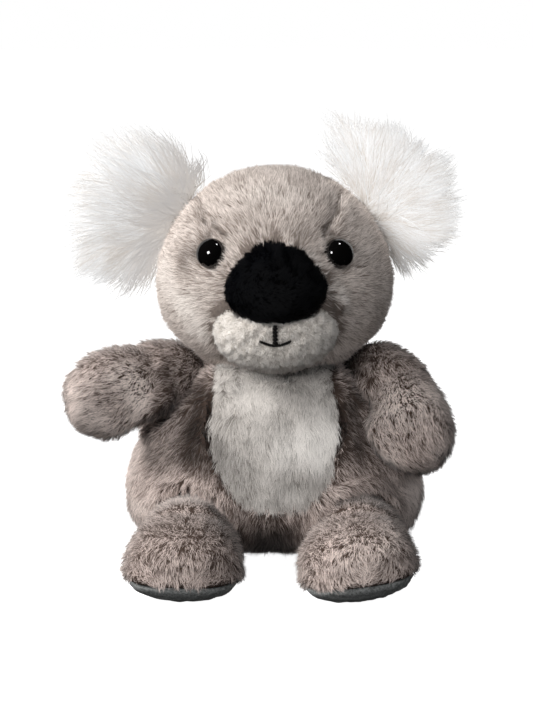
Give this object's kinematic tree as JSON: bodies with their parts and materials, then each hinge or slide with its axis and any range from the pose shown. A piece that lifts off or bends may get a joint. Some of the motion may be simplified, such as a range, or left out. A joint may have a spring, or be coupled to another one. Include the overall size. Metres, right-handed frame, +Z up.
{
  "type": "plush koala toy",
  "caption": "Sitting plush koala with a swivelling head, folding ears, swinging arms and legs, felt soles and safety eyes; a soft toy that sits by itself.",
  "frame": {"origin": "on the floor under the body's flat seat, in the koala's middle plane", "axes": "+Z up, the koala faces -Y, its own left side is +X"},
  "size_m": [0.126, 0.1081, 0.1467],
  "materials": {
    "grey_plush": "short soft pile, matte",
    "white_plush": "long soft pile, matte",
    "cream_fleece": "short curly pile, matte",
    "black_plush": "short pile, matte",
    "black_eye": "polished",
    "black_thread": "matte",
    "grey_felt": "pressed felt, matte",
    "washer_plastic": "as moulded",
    "fibre_fill": "loose fibre",
    "pellet_cloth": "plain weave"
  },
  "bodies": {
    "body": {"body_skin": "grey_plush", "body_stuffing": "fibre_fill", "belly_panel": "white_plush", "pellet_bag": "pellet_cloth"},
    "head": {"head_skin": "grey_plush", "head_stuffing": "fibre_fill", "muzzle": "cream_fleece", "nose": "black_plush", "mouth_stitch": "black_thread", "left_eye": "black_eye", "left_eye_washer": "washer_plastic", "right_eye": "black_eye", "right_eye_washer": "washer_plastic"},
    "left_ear": {"left_ear_front": "white_plush", "left_ear_back": "grey_plush"},
    "right_ear": {"right_ear_front": "white_plush", "right_ear_back": "grey_plush"},
    "left_arm": {"left_arm_skin": "grey_plush", "left_arm_stuffing": "fibre_fill"},
    "right_arm": {"right_arm_skin": "grey_plush", "right_arm_stuffing": "fibre_fill"},
    "left_leg": {"left_leg_skin": "grey_plush", "left_leg_stuffing": "fibre_fill", "left_sole": "grey_felt"},
    "right_leg": {"right_leg_skin": "grey_plush", "right_leg_stuffing": "fibre_fill", "right_sole": "grey_felt"}
  },
  "joints": [
    {"name": "head_turn", "type": "hinge", "parent": "body", "child": "head", "pos_m": [0, -0.003, 0.06205], "axis": [0, 0, 1], "range_deg": [-25, 25], "stiffness_Nm_per_rad": 0.06},
    {"name": "left_ear_fold", "type": "hinge", "parent": "head", "child": "left_ear", "pos_m": [0.03492, 0.001, 0.11276], "axis": [0.4924, 0, -0.8704], "range_deg": [-20, 20], "stiffness_Nm_per_rad": 0.02},
    {"name": "right_ear_fold", "type": "hinge", "parent": "head", "child": "right_ear", "pos_m": [-0.03492, 0.001, 0.11276], "axis": [0.4924, 0, 0.8704], "range_deg": [-20, 20], "stiffness_Nm_per_rad": 0.02},
    {"name": "left_arm_swing", "type": "hinge", "parent": "body", "child": "left_arm", "pos_m": [0.036, -0.009, 0.0575], "axis": [-0.8988, -0.4384, 0], "range_deg": [-6, 30], "stiffness_Nm_per_rad": 0.05},
    {"name": "right_arm_swing", "type": "hinge", "parent": "body", "child": "right_arm", "pos_m": [-0.036, -0.009, 0.0575], "axis": [-0.6157, 0.788, 0], "range_deg": [-30, 8], "stiffness_Nm_per_rad": 0.05},
    {"name": "left_leg_swing", "type": "hinge", "parent": "body", "child": "left_leg", "pos_m": [0.0265, -0.035, 0.014], "axis": [-1, 0, 0], "range_deg": [-15, 12], "stiffness_Nm_per_rad": 0.08},
    {"name": "right_leg_swing", "type": "hinge", "parent": "body", "child": "right_leg", "pos_m": [-0.0265, -0.035, 0.014], "axis": [-1, 0, 0], "range_deg": [-15, 12], "stiffness_Nm_per_rad": 0.08}
  ]
}
